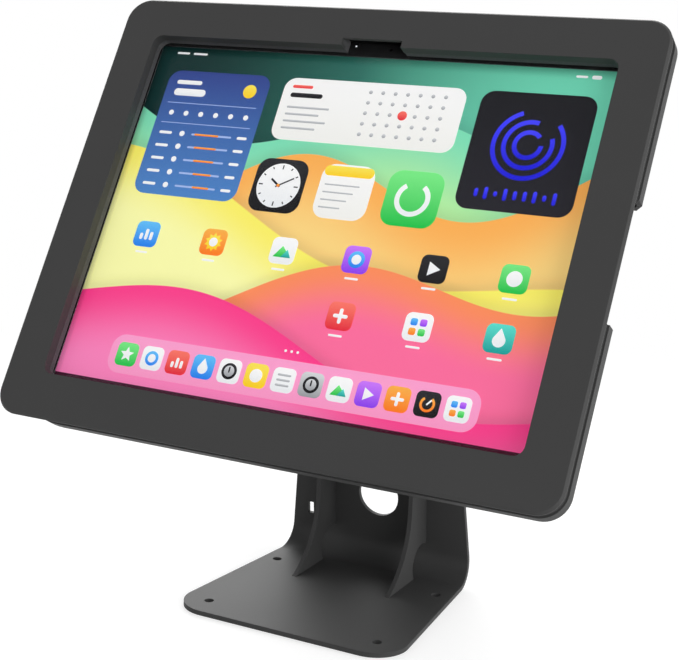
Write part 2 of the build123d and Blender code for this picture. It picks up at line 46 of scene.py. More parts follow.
# The screen's own axes: x to the right, y up along the glass, z out towards the user
swivel = next(joint for joint in frame["joints"] if joint["name"] == "head_swivel")
outward = Vector(swivel["axis"])
across = Vector((1, 0, 0))
upward = outward.cross(across)
screenPlace = Matrix((across, upward, outward)).transposed().to_4x4()
screenPlace.translation = Vector(swivel["pos_m"])
toScreen = screenPlace.inverted()
mm = 0.001


def corners(points):
    low = Vector([min(point[i] for point in points) for i in range(3)])
    high = Vector([max(point[i] for point in points) for i in range(3)])
    return low, high


def span(node):
    # lowest and highest corner of a CAD node in the screen's axes
    return corners([toScreen @ vertex.co for vertex in nodes[node].data.vertices])


# Camera, fitted to the photograph's edges; angles in degrees
cameraView = {
    "place": (0.34903, -0.67603, 0.31542),
    "azimuth": 27.079,
    "elevation": 12.311,
    "roll": 2.144,
    "lensMm": 80.21,
    "sensorMm": 36.0,
    "clipM": 0.01,
}


def makeCamera():
    azimuth, elevation, roll = (radians(cameraView[key]) for key in ("azimuth", "elevation", "roll"))
    forward = Vector((-sin(azimuth) * cos(elevation), cos(azimuth) * cos(elevation), -sin(elevation)))
    level = Vector((cos(azimuth), sin(azimuth), 0))
    right = Matrix.Rotation(-roll, 3, forward) @ level
    turn = Matrix((right, right.cross(forward), -forward)).transposed().to_4x4()
    data = bpy.data.cameras.new("camera")
    data.lens = cameraView["lensMm"]
    data.sensor_width = cameraView["sensorMm"]
    data.sensor_fit = "HORIZONTAL"
    data.clip_start = cameraView["clipM"]
    camera = bpy.data.objects.new("camera", data)
    bpy.context.scene.collection.objects.link(camera)
    camera.matrix_world = Matrix.Translation(cameraView["place"]) @ turn
    bpy.context.scene.camera = camera


makeCamera()
print("camera ready")


# A wire is a node's output, and an expression on wires adds the Math nodes that work it out
class Wire:
    def __init__(self, tree, socket):
        self.tree = tree
        self.socket = socket

    def combine(self, operation, first, second):
        node = self.tree.nodes.new("ShaderNodeMath")
        node.operation = operation
        plug(self.tree, node.inputs[0], first)
        plug(self.tree, node.inputs[1], second)
        return Wire(self.tree, node.outputs[0])

    def __add__(self, other):
        return self.combine("ADD", self, other)

    def __radd__(self, other):
        return self.combine("ADD", other, self)

    def __sub__(self, other):
        return self.combine("SUBTRACT", self, other)

    def __rsub__(self, other):
        return self.combine("SUBTRACT", other, self)

    def __mul__(self, other):
        return self.combine("MULTIPLY", self, other)

    def __rmul__(self, other):
        return self.combine("MULTIPLY", other, self)

    def __truediv__(self, other):
        return self.combine("DIVIDE", self, other)

    def __gt__(self, other):
        return self.combine("GREATER_THAN", self, other)


def plug(tree, socket, value):
    if isinstance(value, Wire):
        tree.links.new(value.socket, socket)
    elif isinstance(value, (int, float)) and hasattr(socket.default_value, "__len__"):
        socket.default_value = [value] * len(socket.default_value)
    elif isinstance(value, tuple) and len(value) == 3 and len(socket.default_value) == 4:
        socket.default_value = (*value, 1)
    else:
        socket.default_value = value


class Finish:
    # a material, or the world, with one method that adds any node
    def __init__(self, name, owner=None):
        self.owner = owner or bpy.data.materials.new(name)
        self.owner.use_nodes = True
        self.tree = self.owner.node_tree
        self.tree.nodes.clear()

    def add(self, kind, settings=None, sockets=None, out=0):
        node = self.tree.nodes.new(kind)
        for name, value in (settings or {}).items():
            if name == "stops":
                while len(node.color_ramp.elements) < len(value):
                    node.color_ramp.elements.new(1)
                for element, (position, color) in zip(node.color_ramp.elements, value):
                    element.position = position
                    element.color = (*color, 1)
            else:
                setattr(node, name, value)
        for name, value in (sockets or {}).items():
            plug(self.tree, node.inputs[name], value)
        return Wire(self.tree, node.outputs[out])

    def place(self):
        return self.add("ShaderNodeTexCoord", out="Object")

    def noise(self, place, scale, detail=2.0, stretch=None):
        if stretch:
            place = self.add("ShaderNodeMapping", None, {"Vector": place, "Scale": stretch})
        sockets = {"Vector": place, "Scale": scale, "Detail": detail}
        return self.add("ShaderNodeTexNoise", None, sockets, "Fac")

    def mix(self, factor, first, second):
        return self.add("ShaderNodeMix", {"data_type": "RGBA"}, {0: factor, 6: first, 7: second}, 2)

    def ramp(self, factor, *stops):
        return self.add("ShaderNodeValToRGB", {"stops": stops}, {"Fac": factor})

    def along(self, place, direction):
        settings = {"operation": "DOT_PRODUCT"}
        return self.add("ShaderNodeVectorMath", settings, {0: place, 1: tuple(direction)}, "Value")

    def wave(self, value):
        return self.add("ShaderNodeMath", {"operation": "SINE"}, {0: value})

    def step(self, value, low, high):
        settings = {"interpolation_type": "SMOOTHSTEP"}
        return self.add("ShaderNodeMapRange", settings, {"Value": value, "From Min": low, "From Max": high})

    def bump(self, height, distance, strength=1.0, normal=None):
        sockets = {"Height": height, "Distance": distance, "Strength": strength}
        if normal:
            sockets["Normal"] = normal
        return self.add("ShaderNodeBump", None, sockets)

    def rounded(self, radius):
        return self.add("ShaderNodeBevel", {"samples": 6}, {"Radius": radius})

    def surface(self, sockets):
        return self.finish(self.add("ShaderNodeBsdfPrincipled", None, sockets))

    def finish(self, shader, kind="ShaderNodeOutputMaterial"):
        self.tree.links.new(shader.socket, self.tree.nodes.new(kind).inputs["Surface"])
        return self.owner


def around(texture, spread):
    # a texture from 0 to 1 as a change to both sides of zero
    return (texture - 0.5) * spread


def gray(value):
    return (value, value, value)


def fromHex(code):
    # a colour as a designer writes it, in linear values
    values = [int(code[i : i + 2], 16) / 255 for i in (0, 2, 4)]
    return tuple(v / 12.92 if v <= 0.04045 else ((v + 0.055) / 1.055) ** 2.4 for v in values)


# Finishes. A sheen is how far a texture changes the roughness
coatLook = {
    "dark": gray(0.044),
    "light": gray(0.052),
    "specular": 0.19,
    "roughness": 0.56,
    "filmPerMetre": 16.0,
    "filmSheen": 0.06,
    "grainPerMetre": 1500.0,
    "grainSheen": 0.08,
    "peelPerMetre": 420.0,
    "relief": 0.5,
    "reliefM": 0.00002,
    "edgeRadiusM": 0.0004,
}


def makeCoat():
    coat = Finish("powderCoat")
    place = coat.place()
    film = coat.noise(place, coatLook["filmPerMetre"], 3)
    grain = coat.noise(place, coatLook["grainPerMetre"])
    peel = coat.noise(place, coatLook["peelPerMetre"], 1)
    height = grain * 0.5 + peel
    edges = coat.rounded(coatLook["edgeRadiusM"])
    relief = coat.bump(height, coatLook["reliefM"], coatLook["relief"], edges)
    sheen = around(film, coatLook["filmSheen"])
    return coat.surface(
        {
            "Base Color": coat.mix(film, coatLook["dark"], coatLook["light"]),
            "Roughness": coatLook["roughness"] + sheen + around(grain, coatLook["grainSheen"]),
            "Specular IOR Level": coatLook["specular"],
            "Normal": relief,
        }
    )


metalLook = {
    "zinc": {
        "low": fromHex("8f9295"),
        "high": fromHex("bdbbb4"),
        "roughness": 0.28,
        "scratch": (1, 0.08, 1),  # the scratches run along the axis of the smallest number
    },
    "chrome": {
        "low": fromHex("c4c6c8"),
        "high": fromHex("dddddb"),
        "roughness": 0.10,
        "scratch": (0.1, 1, 1),
    },
    "blackOxide": {
        "low": fromHex("1b1b1d"),
        "high": fromHex("2b2a29"),
        "roughness": 0.36,
        "scratch": (1, 1, 0.1),
    },
}
metalWear = {
    "tarnishPerMetre": 70,
    "tarnishSheen": 0.16,
    "scratchesPerMetre": 900,
    "scratchSheen": 0.08,
    "relief": 0.5,
    "reliefM": 0.00001,
    "edgeRadiusM": 0.0002,
}


def makeMetal(name):
    look = metalLook[name]
    metal = Finish(name)
    place = metal.place()
    tarnish = metal.noise(place, metalWear["tarnishPerMetre"], 4)
    scratches = metal.noise(place, metalWear["scratchesPerMetre"], 3, look["scratch"])
    edges = metal.rounded(metalWear["edgeRadiusM"])
    relief = metal.bump(scratches, metalWear["reliefM"], metalWear["relief"], edges)
    color = metal.mix(tarnish, look["low"], look["high"])
    roughness = look["roughness"] + around(tarnish, metalWear["tarnishSheen"])
    return metal.surface(
        {
            "Base Color": color,
            "Metallic": 1.0,
            "Roughness": roughness + around(scratches, metalWear["scratchSheen"]),
            "Normal": relief,
        }
    )


foamLook = {
    "low": fromHex("3a3a3b"),
    "high": fromHex("58585a"),
    "cellsPerMetre": 1600.0,
    "cellShare": 0.7,
    "fadePerMetre": 60,
    "fadeShare": 0.3,
    "roughness": 0.82,
    "fadeSheen": 0.12,
    "relief": 0.7,
    "reliefM": 0.0002,
}


def makeFoam():
    foam = Finish("foam")
    place = foam.place()
    sockets = {"Vector": place, "Scale": foamLook["cellsPerMetre"]}
    cells = foam.add("ShaderNodeTexVoronoi", None, sockets, "Distance")
    fade = foam.noise(place, foamLook["fadePerMetre"], 3)
    mottle = cells * foamLook["cellShare"] + fade * foamLook["fadeShare"]
    return foam.surface(
        {
            "Base Color": foam.mix(mottle, foamLook["low"], foamLook["high"]),
            "Roughness": foamLook["roughness"] + fade * foamLook["fadeSheen"],
            "Normal": foam.bump(cells, foamLook["reliefM"], foamLook["relief"]),
        }
    )


nylonLook = {
    "roughness": 0.42,
    "cloudsPerMetre": 90,
    "turnedPerMetre": 1200,
    "turnedSheen": 0.2,
    "relief": 0.5,
    "reliefM": 0.00002,
    "edgeRadiusM": 0.0002,
}


def makeNylon(name, low, high):
    nylon = Finish(name)
    place = nylon.place()
    clouds = nylon.noise(place, nylonLook["cloudsPerMetre"], 3)
    turned = nylon.noise(place, nylonLook["turnedPerMetre"], 2)
    edges = nylon.rounded(nylonLook["edgeRadiusM"])
    return nylon.surface(
        {
            "Base Color": nylon.mix(clouds, fromHex(low), fromHex(high)),
            "Roughness": nylonLook["roughness"] + around(turned, nylonLook["turnedSheen"]),
            "Normal": nylon.bump(turned, nylonLook["reliefM"], nylonLook["relief"], edges),
        }
    )


tabletLook = {
    "low": fromHex("8d8f92"),
    "high": fromHex("a3a5a8"),
    "bezel": fromHex("232324"),
    "bezelFacing": 0.9,  # least share of the normal along the screen's, for the black front
    "roughness": 0.36,
    "bezelSheen": 0.2,
    "blastPerMetre": 3000,
    "blastSheen": 0.16,
    "cloudsPerMetre": 30,
    "relief": 0.5,
    "reliefM": 0.00001,
    "edgeRadiusM": 0.0003,
}


def makeTabletBody():
    # bead blasted aluminium, black where the glass covers it
    body = Finish("tabletBody")
    place = body.place()
    facing = body.along(body.add("ShaderNodeNewGeometry", out="Normal"), outward)
    bezel = facing > tabletLook["bezelFacing"]
    blast = body.noise(place, tabletLook["blastPerMetre"], 2)
    clouds = body.noise(place, tabletLook["cloudsPerMetre"], 3)
    metal = body.mix(clouds, tabletLook["low"], tabletLook["high"])
    roughness = tabletLook["roughness"] + around(blast, tabletLook["blastSheen"])
    edges = body.rounded(tabletLook["edgeRadiusM"])
    return body.surface(
        {
            "Base Color": body.mix(bezel, metal, tabletLook["bezel"]),
            "Metallic": 1 - bezel,
            "Roughness": roughness - bezel * tabletLook["bezelSheen"],
            "Normal": body.bump(blast, tabletLook["reliefM"], tabletLook["relief"], edges),
        }
    )


glassLook = {
    "tint": gray(0.02),
    "roughness": 0.04,
    "smearsPerMetre": 22,
    "smearSheen": 0.05,
    "alpha": 0.10,
}


def makeGlass():
    glass = Finish("coverGlass")
    smears = glass.noise(glass.place(), glassLook["smearsPerMetre"], 4)
    return glass.surface(
        {
            "Base Color": glassLook["tint"],
            "Roughness": glassLook["roughness"] + smears * glassLook["smearSheen"],
            "Alpha": glassLook["alpha"],
        }
    )


blackOxide = makeMetal("blackOxide")
finishOf = {
    makeCoat(): "base_bracket left_rib right_rib tilt_yoke mounting_plate rear_shell front_frame",
    makeMetal("zinc"): "tilt_bolt tilt_nut tilt_spacer swivel_spindle wave_washer locking_ring"
    " hinge_front_leaves hinge_rear_leaves hinge_pins lock_strike lock_cam cam_screw",
    blackOxide: "mounting_screws lock_screws",
    makeMetal("chrome"): "lock_housing lock_plug",
    makeNylon("nylon", "202021", "2e2e2f"): "friction_washers brake_ring",
    makeFoam(): "back_pad window_gasket",
    makeTabletBody(): "tablet_body",
    makeGlass(): "tablet_glass",
}
for material, names in finishOf.items():
    for name in names.split():
        nodes[name].data.materials.clear()
        nodes[name].data.materials.append(material)
print("finishes ready:", len(finishOf))


# Meshes
def meshObject(name, mesh, materials, body=None, replaced=()):
    piece = bpy.data.objects.new(name, mesh)
    bpy.context.scene.collection.objects.link(piece)
    for material in materials:
        mesh.materials.append(material)
    if body:
        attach(piece, body)
    if replaced:
        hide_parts(*replaced)
    return piece


def toMesh(shape, name):
    mesh = bpy.data.meshes.new(name)
    shape.to_mesh(mesh)
    shape.free()
    return mesh


# The display: a lit panel with a wallpaper, and flat tiles that lie on it
displayLow, displayHigh = span("tablet_display")
displayLook = {
    "tileLayerM": 0.0001,
    "tileShare": 0.8,  # a tile's thickness against its layer
    "layers": 5,
    "roughness": 0.5,
    "lit": 0.5,  # share of the picture that glows by itself
}
panelFront = displayHigh.z - (displayLook["layers"] + 0.5) * displayLook["tileLayerM"]

# The wallpaper, in millimetres from the window's middle. Its ground runs from left to right behind the
# bands, and each band casts a shade above its edge. Along the top, right and left, painted shade of the
# frame's lip darkens the picture; each has where it starts, where it is full and how dark it gets. The
# bottom one is a thin dark strip along the bottom edge
wallpaperLook = {
    "widthMm": 264,
    "groundMm": (-120, 120),
    "ground": ((0, "10302f"), (0.45, "2f6f63"), (1, "6fd6b5")),
    "edgeMm": 0.25,
    "shade": 0.16,
    "shadeMm": (-9, 0.5),
    "paintedShadeAndStripMm": {
        "top": (92, 100, 0.6),
        "right": (129, 133, 0.3),
        "left": (128, 133, 0.4),
        "bottom": (94.5, 94.9, 0.94),
    },
}
# Each band: height of its edge at the middle, slope, swell, waves across, phase, and colours with a fade
wallpaperBands = [
    dict(at=52, slope=-0.10, swell=17, waves=1.1, phase=0.6, edge="7fe0b8", deep="b9f2a4", fade=50),
    dict(at=24, slope=0.12, swell=20, waves=1.3, phase=2.4, edge="ffb257", deep="ffd884", fade=46),
    dict(at=-2, slope=-0.18, swell=16, waves=0.9, phase=4.2, edge="fff36a", deep="ffffb0", fade=40),
    dict(at=-34, slope=0.16, swell=15, waves=1.2, phase=1.2, edge="ff8f5e", deep="ff6fa0", fade=34),
    dict(at=-62, slope=-0.12, swell=14, waves=1.0, phase=3.0, edge="ff3f8e", deep="ff86c0", fade=40),
]


def litSurface(finish, color):
    return finish.surface(
        {
            "Base Color": color,
            "Roughness": displayLook["roughness"],
            "Specular IOR Level": 0.0,
            "Emission Color": color,
            "Emission Strength": displayLook["lit"],
        }
    )


def makeWallpaper():
    paper = Finish("wallpaper")
    place = paper.place()
    centre = screenPlace.translation
    x = (paper.along(place, across) - centre.dot(across)) / mm
    y = (paper.along(place, upward) - centre.dot(upward)) / mm
    stops = [(position, fromHex(code)) for position, code in wallpaperLook["ground"]]
    color = paper.ramp(paper.step(x, *wallpaperLook["groundMm"]), *stops)
    for band in wallpaperBands:
        turns = 2 * pi * band["waves"] / wallpaperLook["widthMm"]
        edge = paper.wave(x * turns + band["phase"]) * band["swell"] + x * band["slope"] + band["at"]
        depth = edge - y
        inside = paper.step(depth, -wallpaperLook["edgeMm"], wallpaperLook["edgeMm"])
        fade = paper.step(depth, 0, band["fade"])
        tone = paper.mix(fade, fromHex(band["edge"]), fromHex(band["deep"]))
        shade = paper.step(depth, *wallpaperLook["shadeMm"]) * wallpaperLook["shade"]
        color = paper.mix(inside, paper.mix(shade, color, gray(0.0)), tone)
    sides = {"top": y, "right": x, "left": 0 - x, "bottom": 0 - y}
    # painted shade of the frame's lip along the top, right and left, and a thin dark strip along the bottom
    for side, (start, end, darkness) in wallpaperLook["paintedShadeAndStripMm"].items():
        color = paper.mix(paper.step(sides[side], start, end) * darkness, color, gray(0.0))
    return litSurface(paper, color)


def makePanel():
    low, high = displayLow.copy(), displayHigh.copy()
    high.z = panelFront
    shape = bmesh.new()
    bmesh.ops.create_cube(shape, size=1)
    bmesh.ops.scale(shape, vec=high - low, verts=shape.verts)
    bmesh.ops.translate(shape, vec=(low + high) / 2, verts=shape.verts)
    mesh = toMesh(shape, "displayPanel")
    mesh.transform(screenPlace)
    meshObject("displayPanel", mesh, [makeWallpaper()], "enclosure", ["tablet_display"])


makePanel()
print("display panel ready")

# Tile colours: top and bottom of each tile
tileColors = {
    "white": ("ffffff", "eef1f4"),
    "paper": ("fdfdfd", "f4f4f0"),
    "ink": ("2c2c30", "17171a"),
    "night": ("1b1b20", "25242b"),
    "blue": ("35478f", "4f86c9"),
    "sky": ("66c5ff", "1d7ff0"),
    "green": ("7df08a", "19c24a"),
    "red": ("ff7a6b", "e8263c"),
    "orange": ("ffb44d", "ff7a1f"),
    "yellow": ("ffe95a", "ffd21f"),
    "violet": ("cf7bff", "8a3ff0"),
    "teal": ("5fe3d2", "139f9a"),
    "silver": ("d9dbde", "9b9ea3"),
    "dockPink": ("ffa3d2", "ff9ccb"),
    "deepBlue": ("4646ff", "1b1bd8"),
    "paleBlue": ("9fb4e8", "a9c3f0"),
}


def makeTileMaterial(name):
    high, low = (fromHex(code) for code in tileColors[name])
    tile = Finish("tile_" + name)
    position = tile.add("ShaderNodeUVMap", {"uv_map": "tileMap"})
    height = tile.add("ShaderNodeSeparateXYZ", None, {0: position}, "Y")
    return litSurface(tile, tile.mix(height, low, high))


# Outlines of the flat signs, as lists of points
outlineSteps = {"corner": 6, "disc": 28, "gauge": 36, "drop": 14}


def arcPoints(x, y, radius, start, end, steps):
    angles = [radians(start + (end - start) * i / steps) for i in range(steps + 1)]
    return [(x + radius * cos(angle), y + radius * sin(angle)) for angle in angles]


def roundedBox(x, y, width, height, radius):
    right, top = width / 2 - radius, height / 2 - radius
    middles = ((right, top), (-right, top), (-right, -top), (right, -top))
    points = []
    for i, (cornerX, cornerY) in enumerate(middles):
        start = 90 * i
        points += arcPoints(x + cornerX, y + cornerY, radius, start, start + 90, outlineSteps["corner"])
    return points


def disc(x, y, radius):
    return arcPoints(x, y, radius, 0, 360, outlineSteps["disc"])[:-1]


def gauge(x, y, radius, width, start=125, end=415):
    # an open ring
    steps = outlineSteps["gauge"]
    return arcPoints(x, y, radius, start, end, steps) + arcPoints(x, y, radius - width, end, start, steps)


def triangle(x, y, radius):
    # its tip points to the right
    return arcPoints(x, y, radius, 0, 360, 3)[:-1]


def star(x, y, radius, arms, inner=0.45):
    points = []
    for i in range(2 * arms):
        reach = radius if i % 2 == 0 else radius * inner
        angle = pi / 2 + pi * i / arms
        points.append((x + reach * cos(angle), y + reach * sin(angle)))
    return points


def hand(x, y, length, width, turn, tailShare=0.18):
    # a clock hand, turned clockwise from upright
    forward = Vector((sin(radians(turn)), cos(radians(turn))))
    side = Vector((-forward.y, forward.x)) * width / 2
    tip, tail = forward * length, forward * -tailShare * length
    return [(x + point.x, y + point.y) for point in (tail - side, tip - side, tip + side, tail + side)]


class TileSheet:
    # flat closed plates in the screen's axes, in millimetres, each on its layer and in its colour
    def __init__(self):
        self.shape = bmesh.new()
        self.map = self.shape.loops.layers.uv.new("tileMap")
        self.colors = []
        self.lift = 0

    def plate(self, color, points, layer=0):
        if color not in self.colors:
            self.colors.append(color)
        back = panelFront + (layer + self.lift) * displayLook["tileLayerM"]
        front = back + displayLook["tileLayerM"] * displayLook["tileShare"]
        under, over = ([self.shape.verts.new((x * mm, y * mm, z)) for x, y in points] for z in (back, front))
        faces = [self.shape.faces.new(over), self.shape.faces.new(under[::-1])]
        for i in range(len(points)):
            j = (i + 1) % len(points)
            faces.append(self.shape.faces.new((under[i], under[j], over[j], over[i])))
        left, right = min(x for x, y in points), max(x for x, y in points)
        bottom, top = min(y for x, y in points), max(y for x, y in points)
        for face in faces:
            face.material_index = self.colors.index(color)
            for loop in face.loops:
                x, y = loop.vert.co.x / mm, loop.vert.co.y / mm
                loop[self.map].uv = ((x - left) / (right - left), (y - bottom) / (top - bottom))

    def bar(self, color, x, y, width, height, layer=1):
        # its ends are just short of half round, so that no two points meet
        self.plate(color, roundedBox(x, y, width, height, min(width, height) * 0.48), layer)

    def finish(self, name, body):
        self.shape.normal_update()
        large = [face for face in self.shape.faces if len(face.verts) > 4]
        bmesh.ops.triangulate(self.shape, faces=large)
        mesh = toMesh(self.shape, name)
        mesh.transform(screenPlace)
        return meshObject(name, mesh, [makeTileMaterial(color) for color in self.colors], body)


# Icons, in millimetres from the window's middle
layoutMm = {
    "iconSize": 14.5,
    "iconRadius": 3.3,
    "rowX": (-104, -62.5, -21, 20.5, 62, 103.5),
    "rowY": (-13, -43),
    "label": {"drop": 10.2, "width": 7.5, "height": 1.1},
    "dock": {"y": -79.5, "width": 206, "height": 21, "radius": 7.5, "step": 15.4, "size": 12.6},
}
dockIconRound = 0.23  # corner radius against the icon's size
iconRows = [
    [
        ("sky", "bars"),
        ("orange", "sun"),
        ("white", "hills"),
        ("violet", "ring"),
        ("ink", "play"),
        ("green", "disc"),
    ],
    [None, None, None, ("red", "plus"), ("white", "grid"), ("teal", "drop")],
]
dockIcons = [
    ("green", "star"),
    ("white", "ring"),
    ("red", "bars"),
    ("sky", "drop"),
    ("white", "dial"),
    ("yellow", "disc"),
    ("white", "lines"),
    ("silver", "dial"),
    ("white", "hills"),
    ("violet", "play"),
    ("orange", "plus"),
    ("ink", "gauge"),
    ("white", "grid"),
]


def glyph(sheet, kind, x, y, half):
    # simple generic signs, one per icon, sized as shares of half its width
    if kind == "disc":
        sheet.plate("white", disc(x, y, half * 0.55), 1)
    elif kind == "ring":
        sheet.plate("sky", disc(x, y, half * 0.62), 1)
        sheet.plate("white", disc(x, y, half * 0.36), 2)
    elif kind == "gauge":
        sheet.plate("orange", gauge(x, y, half * 0.62, half * 0.2), 1)
        sheet.plate("white", hand(x, y, half * 0.45, half * 0.14, 40), 2)
    elif kind == "play":
        sheet.plate("white", triangle(x - half * 0.08, y, half * 0.58), 1)
    elif kind == "bars":
        for i, height in enumerate((0.5, 0.85, 0.65)):
            middle = y - half * (0.45 - height / 2)
            sheet.bar("white", x + (i - 1) * half * 0.42, middle, half * 0.26, half * height)
    elif kind == "star":
        sheet.plate("white", star(x, y, half * 0.66, 5), 1)
    elif kind == "sun":
        sheet.plate("yellow", star(x, y, half * 0.72, 10, 0.7), 1)
        sheet.plate("white", disc(x, y, half * 0.34), 2)
    elif kind == "hills":
        for layer, color, left, peak in ((1, "green", -0.7, (-0.1, 0.35)), (2, "teal", -0.1, (0.35, 0.1))):
            outline = ((left, -0.5), (0.7, -0.5), peak)
            sheet.plate(color, [(x + half * u, y + half * v) for u, v in outline], layer)
    elif kind == "plus":
        sheet.bar("white", x, y, half * 1.1, half * 0.26, 1)
        sheet.bar("white", x, y, half * 0.26, half * 1.1, 2)
    elif kind == "lines":
        for i in (-1, 0, 1):
            sheet.bar("silver", x, y + i * half * 0.42, half * 1.2, half * 0.18)
    elif kind == "dial":
        sheet.plate("ink", disc(x, y, half * 0.68), 1)
        sheet.plate("silver", disc(x, y, half * 0.46), 2)
        sheet.bar("ink", x, y + half * 0.12, half * 0.12, half * 0.5, 3)
    elif kind == "grid":
        for color, i, j in (("orange", -1, -1), ("sky", -1, 1), ("green", 1, -1), ("violet", 1, 1)):
            middle = (x + i * half * 0.34, y + j * half * 0.34)
            sheet.plate(color, roundedBox(*middle, half * 0.5, half * 0.5, half * 0.14), 1)
    elif kind == "drop":
        belly = arcPoints(x, y - half * 0.14, half * 0.45, 160, 380, outlineSteps["drop"])
        sheet.plate("white", belly + [(x, y + half * 0.72)], 1)


def makeIcons(sheet):
    size, label = layoutMm["iconSize"], layoutMm["label"]
    for y, row in zip(layoutMm["rowY"], iconRows):
        for x, icon in zip(layoutMm["rowX"], row):
            if icon:
                color, kind = icon
                sheet.plate(color, roundedBox(x, y, size, size, layoutMm["iconRadius"]))
                glyph(sheet, kind, x, y, size / 2)
                sheet.bar("white", x, y - label["drop"], label["width"], label["height"], 0)
    dock = layoutMm["dock"]
    y, size = dock["y"], dock["size"]
    sheet.plate("dockPink", roundedBox(0, y, dock["width"], dock["height"], dock["radius"]))
    sheet.lift = 1
    for i, (color, kind) in enumerate(dockIcons):
        x = (i - (len(dockIcons) - 1) / 2) * dock["step"]
        sheet.plate(color, roundedBox(x, y, size, size, size * dockIconRound))
        glyph(sheet, kind, x, y, size / 2)
    sheet.lift = 0


# Larger tiles, in millimetres from the window's middle: middle, width, height and corner radius.
# What lies on a tile is measured from the tile's own middle
tilesMm = {
    "chart": (-90, 47, 64, 74, 7),
    "month": (3, 66, 104, 36, 6.5),
    "rings": (93, 52, 60, 64, 7),
    "note": (3, 22, 30, 30, 7),
    "ring": (41, 22, 30, 30, 7),
}
clockLook = {"place": (-35, 22), "radius": 12.5, "hourTurn": 305, "minuteTurn": 60}
statusMm = ((-118, 94.6, 8, 1.2), (-107, 94.6, 9, 1.2), (119, 94.4, 5, 2.0), (111.5, 94.4, 6, 1.2))
pageDotsMm = {"count": 3, "step": 3.4, "y": -64.5, "radius": 0.7}


def makeClock(sheet):
    # all its sizes are shares of the dial's radius
    (x, y), radius = clockLook["place"], clockLook["radius"]
    sheet.plate("ink", roundedBox(x, y, 2.4 * radius, 2.4 * radius, 0.55 * radius))
    sheet.plate("white", disc(x, y, radius), 1)
    for i in range(12):
        length = radius * (0.16 if i % 3 == 0 else 0.09)
        turn = radians(30 * i)
        reach = 0.92 * radius - length
        mark = hand(x + reach * sin(turn), y + reach * cos(turn), length, radius * 0.05, 30 * i)
        sheet.plate("ink", mark, 2)
    sheet.plate("ink", hand(x, y, radius * 0.48, radius * 0.09, clockLook["hourTurn"]), 2)
    sheet.plate("ink", hand(x, y, radius * 0.74, radius * 0.06, clockLook["minuteTurn"]), 3)
    sheet.plate("orange", disc(x, y, radius * 0.07), 4)


def makeChart(sheet):
    # a blue tile with a list and bars
    x, y = tilesMm["chart"][:2]
    sheet.plate("blue", roundedBox(*tilesMm["chart"]))
    sheet.bar("white", x - 18, y + 30, 16, 2.4)
    sheet.bar("white", x - 16, y + 24, 20, 4.2)
    sheet.plate("yellow", disc(x + 21, y + 27, 4.0), 1)
    sheet.bar("paleBlue", x, y + 17.5, 56, 0.4)
    for i in range(6):
        sheet.plate("white", disc(x - 23.5 + i * 9.4, y + 11.5, 1.5), 1)
    sheet.bar("paleBlue", x, y + 5.5, 56, 0.4)
    for i in range(5):
        row = y - 0.6 - i * 7.6
        sheet.bar("white", x - 23, row, 8, 1.6)
        sheet.plate("white", disc(x - 12.5, row, 1.6), 1)
        sheet.bar("paleBlue", x + 6, row, 25, 1.1)
        sheet.bar("orange", x + 3 + i * 1.6, row, 15 - i * 1.2, 1.1, 2)
        sheet.bar("white", x + 25, row, 6, 1.6)


def makeMonth(sheet):
    # a wide white tile with a heading, lines of text and a month's days as dots, one of them red
    x, y = tilesMm["month"][:2]
    sheet.plate("paper", roundedBox(*tilesMm["month"]))
    sheet.bar("red", x - 41, y + 13, 12, 1.8)
    sheet.bar("ink", x - 37.5, y + 8, 19, 2.6)
    for i in range(4):
        sheet.bar("silver", x - 34.5 - (i % 2) * 2.5, y + 1 - i * 4.0, 25 - (i % 2) * 5, 1.2)
    for week in range(5):
        for day in range(7):
            if (week, day) != (2, 3):
                sheet.plate("silver", disc(x - 1 + day * 7, y + 12.5 - week * 6, 1.1), 1)
    sheet.plate("red", disc(x + 20, y + 0.5, 2.6), 1)


def makeRings(sheet):
    # a dark tile with three gauges and small bars
    x, y = tilesMm["rings"][:2]
    sheet.plate("night", roundedBox(*tilesMm["rings"]))
    for i, radius in enumerate((19, 13.5, 8)):
        sheet.plate("deepBlue", gauge(x, y + 4, radius, 2.4, 110 - 35 * i, 400 - 20 * i), 1)
    for i in range(9):
        sheet.bar("deepBlue", x - 20 + i * 5, y - 23, 2, 2.5 + 4 * abs(sin(1.3 * i + 0.5)))


def makeNote(sheet):
    # a white tile with a yellow head and lines of text
    x, y = tilesMm["note"][:2]
    sheet.plate("paper", roundedBox(*tilesMm["note"]))
    sheet.plate("yellow", roundedBox(x, y + 11.2, 28, 5.6, 2.6), 1)
    for i in range(4):
        sheet.bar("silver", x - 2 - i * 1.3, y + 3.5 - i * 4.2, 20 - i * 2.6, 0.8)


def makeRing(sheet):
    # a green tile with one gauge
    x, y = tilesMm["ring"][:2]
    sheet.plate("green", roundedBox(*tilesMm["ring"]))
    sheet.plate("white", gauge(x, y, 9.5, 2.6), 1)


def makeMarks(sheet):
    # status marks along the top, and page dots over the dock
    for mark in statusMm:
        sheet.bar("white", *mark, 0)
    for i in range(pageDotsMm["count"]):
        x = (i - (pageDotsMm["count"] - 1) / 2) * pageDotsMm["step"]
        sheet.plate("white", disc(x, pageDotsMm["y"], pageDotsMm["radius"]))


sheet = TileSheet()
for make in (makeChart, makeMonth, makeRings, makeClock, makeNote, makeRing, makeMarks, makeIcons):
    make(sheet)
sheet.finish("screenTiles", "enclosure")
print("screen tiles ready")


